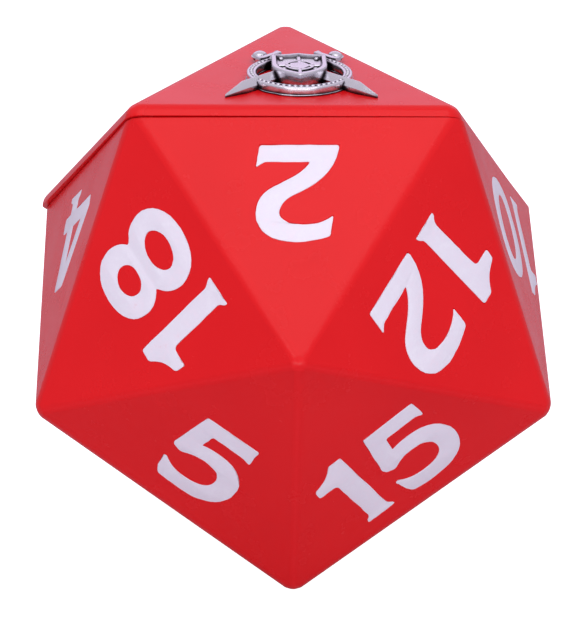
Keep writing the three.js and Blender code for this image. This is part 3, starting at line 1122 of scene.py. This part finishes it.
def cast_plate(name, loops, height, shoulder, offset=0.0):
    """A flat outline in millimetres as a plate with rounded shoulders, standing on z = 0."""
    drawn = flat_curve(
        name,
        loops,
        mm,
        extrude=height / 2 - shoulder,
        bevel_depth=shoulder,
        bevel_resolution=3,
        offset=offset - shoulder,
        resolution_u=16,
    )
    return settle(as_mesh(drawn, name), name, Matrix.Translation((0, 0, height / 2)))


ring_loops = [circle_loop(ring_radius), circle_loop(ring_radius - ring_width)]
emblem_ring = cast_plate("emblem_ring", ring_loops, ring_height, ring_shoulder)
edit_some(emblem_ring, "FACE", lambda face: face.center.z > ring_height - close)
bpy.ops.mesh.inset(thickness=channel_border)
bpy.ops.mesh.inset(thickness=channel_slope, depth=-channel_depth)
leave_edit()

bpy.ops.mesh.primitive_ico_sphere_add(
    subdivisions=2,
    radius=bead_radius,
    location=(ring_radius - ring_width / 2, 0, ring_height - bead_sink),
)
bead = settle_new("bead")
beads = [bead] + [copy_of(bead, "bead") for _ in range(bead_count - 1)]
for i, one in enumerate(beads):
    settle(one, place=Matrix.Rotation(2 * pi * i / bead_count, 4, "Z"))
foot = cast_plate("ring_foot", ring_loops, foot_height, foot_shoulder, foot_spread)
move_border(foot, foot_wander)
joined([emblem_ring, foot] + beads, "emblem_ring")
settle(emblem_ring, place=Matrix.Translation((0, -ring_drop, 0)))
print("ring:", len(emblem_ring.data.polygons), "faces")

# %% [markdown]
# The shield is a plate whose field is inset and sunk, which leaves a rim. A flattened gem of
# twenty sides sits where two bevelled bars cross in the field, and a rivet marks each corner.

# %% Shield
half = shield_width / 2
top = shield_height / 2
shield_crown = 1.6
shield_shoulder = 0.55 * mm
field_border = 0.7 * mm
field_slope = 0.35 * mm
field_depth = 0.9 * mm
field = emblem_height - field_depth
shield_loop = [
    [-half, top - shield_crown],
    [-half, 0],
    [-half, -top * shield_fullness, 0, -top],
    [half, -top * shield_fullness, half, 0],
    [half, top - shield_crown],
    [half / 2, top - shield_crown, 0, top],
    [-half / 2, top - shield_crown, -half, top - shield_crown],
]
emblem_shield = cast_plate("emblem_shield", [shield_loop], emblem_height, shield_shoulder)
edit_some(emblem_shield, "FACE", lambda face: face.center.z > emblem_height - close)
bpy.ops.mesh.inset(thickness=field_border, use_even_offset=False)
bpy.ops.mesh.inset(thickness=field_slope, depth=-field_depth, use_even_offset=False)
leave_edit()
print("shield plate:", len(emblem_shield.data.polygons), "faces")

# %% Gem, bars and rivets
gem_radius = 3.5 * mm
gem_flatness = 0.24
collar_loops = [circle_loop(4.2 * mm), circle_loop(3.3 * mm)]
collar_height = 0.55 * mm
collar_shoulder = 0.2 * mm
collar_sink = 0.1 * mm
bar_width = 1.1 * mm
bar_thickness = 0.5 * mm
bar_bevel = 0.2 * mm
rivet_radius = 0.75 * mm
rivet_spots = [(-5, 6), (5, 6), (-4.4, -3.4), (4.4, -3.4)]

bpy.ops.mesh.primitive_ico_sphere_add(subdivisions=1, radius=gem_radius, location=(0, 0, field))
gem = settle_new("gem", (1, 1, gem_flatness))
gem_collar = cast_plate("gem_collar", collar_loops, collar_height, collar_shoulder)
settle(gem_collar, place=Matrix.Translation((0, 0, field - collar_sink)))


def field_bar(width, height, y):
    bpy.ops.mesh.primitive_cube_add(size=1, location=(0, y, field))
    bar = settle_new("field_bar", (width, height, bar_thickness))
    edit_some(bar, "FACE", lambda face: face.normal.z > facing)
    bpy.ops.mesh.inset(thickness=bar_bevel, depth=bar_bevel)
    leave_edit()
    return bar


field_bars = [field_bar(11.8 * mm, bar_width, 0), field_bar(bar_width, 15 * mm, 0.2 * mm)]
rivets = []
for x, y in rivet_spots:
    bpy.ops.mesh.primitive_uv_sphere_add(
        segments=16, ring_count=8, radius=rivet_radius, location=(x * mm, y * mm, field)
    )
    rivets.append(settle_new("rivet"))
joined([emblem_shield, gem, gem_collar] + field_bars + rivets, "emblem_shield")
print("shield:", len(emblem_shield.data.polygons), "faces")

# %% [markdown]
# A sword is a row of simple solids along x. The blade is a bar whose end face is drawn out to a
# point and whose top is extruded and squeezed into a ridge. The guard's ends are drawn out and
# flared, the grip is wound with wire, and the pommel is a flattened ball with a band.


# %% Blade and guard
def push_out(thing, wanted, step, squeeze, centre=0):
    """Extrudes the wanted faces by a step, and scales them about a point on the sword's line."""
    edit_some(thing, "FACE", wanted)
    bpy.ops.mesh.extrude_region_move(TRANSFORM_OT_translate={"value": step})
    bpy.ops.transform.resize(value=squeeze, center_override=(centre, 0, 0))
    leave_edit()


blade_side = 1.5 * mm
blunt_tip = 0.3 * mm
ridge_squeeze = (1, 0.06, 1)
tip_squeeze = (1, 0.04, 0.3)
blade_end = tip_reach - 2 * blade_width
bpy.ops.mesh.primitive_cube_add(
    size=1, location=((blade_end - guard_reach) / 2, 0, blade_side / 2)
)
blade = settle_new("blade", (blade_end + guard_reach, blade_width, blade_side))
ridge_step = (0, 0, sword_height - blade_side)
push_out(blade, lambda face: face.normal.z > facing, ridge_step, ridge_squeeze)
tip_step = (2 * blade_width - blunt_tip, 0, 0)
push_out(blade, lambda face: face.normal.x > facing, tip_step, tip_squeeze)

guard_middle = -guard_reach - guard_width / 2
guard_size = (guard_width * 0.72, guard_length * 0.6, sword_height * 0.9)
guard_flare = (1.35, 1, 1.1)
bpy.ops.mesh.primitive_cube_add(size=1, location=(guard_middle, 0, sword_height * 0.45))
guard = settle_new("guard", guard_size)
for side in (-1, 1):
    step = (0, side * guard_length * 0.2, 0)
    push_out(guard, lambda face: face.normal.y * side > facing, step, guard_flare, guard_middle)
print("blade and guard:", len(blade.data.polygons), len(guard.data.polygons), "faces")

# %% Grip, pommel and the whole sword
grip_length = pommel_reach - guard_reach
grip_height = sword_height * 0.5
core_radius = grip_width / 2 - 0.2 * mm
wire_ring_radius = grip_width / 2 - 0.25 * mm
wire_radius = 0.32 * mm
wire_turns = 5
wire_tilt = radians(84)
pommel_flatness = 0.72
band_radius = 0.28 * mm
bpy.ops.mesh.primitive_cylinder_add(
    vertices=20,
    radius=core_radius,
    depth=grip_length,
    location=(-guard_reach - grip_length / 2, 0, grip_height),
    rotation=(0, pi / 2, 0),
)
grip = settle_new("grip")
wires = []
for i in range(wire_turns):
    bpy.ops.mesh.primitive_torus_add(
        major_radius=wire_ring_radius,
        minor_radius=wire_radius,
        major_segments=20,
        minor_segments=8,
        location=(-guard_reach - guard_width - (i + 0.5) * 2 * wire_radius, 0, grip_height),
        rotation=(0, wire_tilt, 0),
    )
    wires.append(settle_new("wire"))
bpy.ops.mesh.primitive_uv_sphere_add(
    segments=24, ring_count=14, radius=pommel_radius, location=(-pommel_reach, 0, grip_height)
)
pommel = settle_new("pommel", (1, 1, pommel_flatness))
bpy.ops.mesh.primitive_torus_add(
    major_radius=pommel_radius,
    minor_radius=band_radius,
    major_segments=32,
    minor_segments=8,
    location=(-pommel_reach, 0, grip_height),
)
band = settle_new("band")
for solid, softness in ((blade, 0.12 * mm), (guard, 0.3 * mm)):
    apply_modifier(solid, "BEVEL", width=softness, segments=2, limit_method="ANGLE")
sword = joined([blade, guard, grip, pommel, band] + wires, "emblem_sword_left")
print("sword:", len(sword.data.polygons), "faces")

# %% Two swords and the emblem's place
right_sword = copy_of(sword, "emblem_sword_right")
crossing = Matrix.Translation((0, sword_crossing, 0))
settle(sword, place=crossing @ Matrix.Rotation(-sword_angle, 4, "Z"))
settle(right_sword, place=crossing @ Matrix.Rotation(sword_angle - pi, 4, "Z"))
emblem_pieces = [emblem_ring, emblem_shield, sword, right_sword]
for one in emblem_pieces:
    settle(one, place=emblem_place)
print("emblem pieces:", [one.name for one in emblem_pieces])

# %% [markdown]
# ## Marking the rounded edges
#
# The rounded edges are painted brighter, partly as wear and partly as a painted highlight. How far
# a point lies under the nearest face's plane says how far round the edge it is: nothing on the
# faces, and a known sag in the middle of a rounded edge.

# %% Attribute for the rounded edges
face_directions = [frame_of_number(number).col[2].xyz for number in numbers]
face_directions += [Vector((0, 0, 1)), Vector((0, 0, -1))]
edge_sag = edge_radius * (1 - cos(half_fold))
deepest_corner = edge_radius * (corner_reach - 1)


def mark_rounded_edges(thing):
    mark = thing.data.attributes.new("rounded_edge", "FLOAT", "POINT")
    marked = 0
    for vertex in thing.data.vertices:
        out = vertex.co - middle
        sag = inradius - max(out.dot(direction) for direction in face_directions)
        if sag < deepest_corner:
            mark.data[vertex.index].value = min(max(sag / edge_sag, 0), 1)
            marked += sag > edge_sag / 2
    return marked


print("marked points:", mark_rounded_edges(body_shell), mark_rounded_edges(lid_shell))

# %% [markdown]
# ## Place the lid, smooth, paint and ride
#
# The lid's pieces were made in the die's own place, so they are now moved to where the lid
# rests. Smooth shading by angle keeps the faces crisp, and weighted normals keep them flat right
# up to their rounded edges. Every piece then rides on its body and stands for its CAD node.

# %% Finish the pieces
shell_crease = 32
metal_crease = 35
soft_crease = 40

for one in [lid_shell] + fills["lid"]:
    settle(one, place=lid_place)


def smooth(thing, degrees_of_crease, flat_faces=True):
    pick(thing)
    bpy.ops.object.shade_smooth_by_angle(angle=radians(degrees_of_crease))
    if flat_faces:
        apply_modifier(thing, "WEIGHTED_NORMAL", keep_sharp=True, weight=100)


def finish_piece(thing, body, material, slot, *nodes):
    thing.data.materials.clear()
    thing.data.materials.append(material)
    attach(thing, body)
    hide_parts(*nodes)


for shell in (body_shell, lid_shell):
    smooth(shell, shell_crease)
finish_piece(body_shell, "box", red_paint, "red_body", "body_shell")
finish_piece(lid_shell, "lid", red_paint, "red_lid", "lid_shell")
for home, body in (("body", "box"), ("lid", "lid")):
    for fill in fills[home]:
        smooth(fill, soft_crease, flat_faces=False)
        node = fill.name.removeprefix("enamel_")
        finish_piece(fill, body, white_enamel, "white_enamel", node)
for one in emblem_pieces:
    smooth(one, metal_crease, flat_faces=False)
    finish_piece(one, "lid", silver, "antique_silver", "emblem")
smooth(felt_pad, soft_crease, flat_faces=False)
finish_piece(felt_pad, "box", felt, "black_felt", "base_felt")

# %% [markdown]
# ## Floor and light
#
# A pale floor and soft light from a studio tent: a bright ceiling, a bright wall behind, and
# darker sides, so that each face of the gloss paint mirrors something different. Floor and tent
# are seen as clean white, but they light the die only as strongly as grey boards would. The
# Light Path node tells the two apart.

# %% Floor
bpy.ops.mesh.primitive_circle_add(vertices=64, radius=4, fill_type="NGON")
floor = bpy.context.object
floor.name = "pale_floor"
floor_paint, nodes, links, shader = new_material("pale_floor_paint")
shader.inputs["Base Color"].default_value = (0.45, 0.43, 0.49, 1)
shader.inputs["Roughness"].default_value = 0.9
shader.inputs["Specular IOR Level"].default_value = 0.0
shader.inputs["Emission Color"].default_value = (1.0, 1.0, 1.0, 1)
seen_directly = nodes.new("ShaderNodeLightPath").outputs["Is Camera Ray"]
glow = map_range(nodes, links, seen_directly, 0, 1, 0.06, 1)
links.new(glow, shader.inputs["Emission Strength"])
floor.data.materials.append(floor_paint)

# %% Tent
scene = bpy.context.scene
scene.view_settings.view_transform = "Standard"
world = bpy.data.worlds.new("studio_tent")
scene.world = world
world.use_nodes = True
nodes, links = world.node_tree.nodes, world.node_tree.links
direction = nodes.new("ShaderNodeTexCoord").outputs["Generated"]
height_of = nodes.new("ShaderNodeSeparateXYZ")
links.new(direction, height_of.inputs[0])
tent_colours = [
    (0.0, (0.64, 0.6, 0.69)),
    (0.25, (0.58, 0.53, 0.64)),
    (0.6, (0.78, 0.74, 0.83)),
    (1.0, (0.88, 0.85, 0.94)),
]
height_in_tent = map_range(nodes, links, height_of.outputs["Z"], -0.1, 1, 0, 1)
tent = ramp(nodes, links, height_in_tent, tent_colours)
seen_tent = add_node(nodes, "ShaderNodeMix", data_type="RGBA")
seen_tent.inputs["B"].default_value = (1.3, 1.3, 1.3, 1)
links.new(nodes.new("ShaderNodeLightPath").outputs["Is Camera Ray"], seen_tent.inputs["Factor"])
links.new(tent, seen_tent.inputs["A"])
links.new(seen_tent.outputs["Result"], nodes["Background"].inputs["Color"])
nodes["Background"].inputs["Strength"].default_value = 0.85
print("made", world.name)

# %% Lights
white = (1, 1, 1)
# name, power, width and height, spot, colour
soft_lights = [
    ("ceiling_light", 6.5, (1.6, 1.2), (0, -0.5, 1.5), (1, 0.98, 1)),
    ("back_light", 3.0, (2.0, 0.9), (0, 1.5, 0.75), (0.93, 0.68, 1)),
    ("front_light", 0.6, (0.7, 0.5), (0, -1.3, 1.3), white),
    ("low_light", 6.4, (1.6, 0.4), (0, -1.4, 0.22), white),
    ("left_lamp", 0.4, (0.16, 0.16), (-0.75, -0.92, 1.2), white),
    ("right_lamp", 0.4, (0.16, 0.16), (0.75, -0.92, 1.2), white),
]
for name, power, size, spot, colour in soft_lights:
    towards_die = middle - Vector(spot)
    bpy.ops.object.light_add(
        type="AREA",
        location=spot,
        rotation=towards_die.to_track_quat("-Z", "Y").to_euler(),
    )
    light = bpy.context.object
    light.name = name
    light.data.energy = power
    light.data.shape = "RECTANGLE"
    light.data.size, light.data.size_y = size
    light.data.color = colour
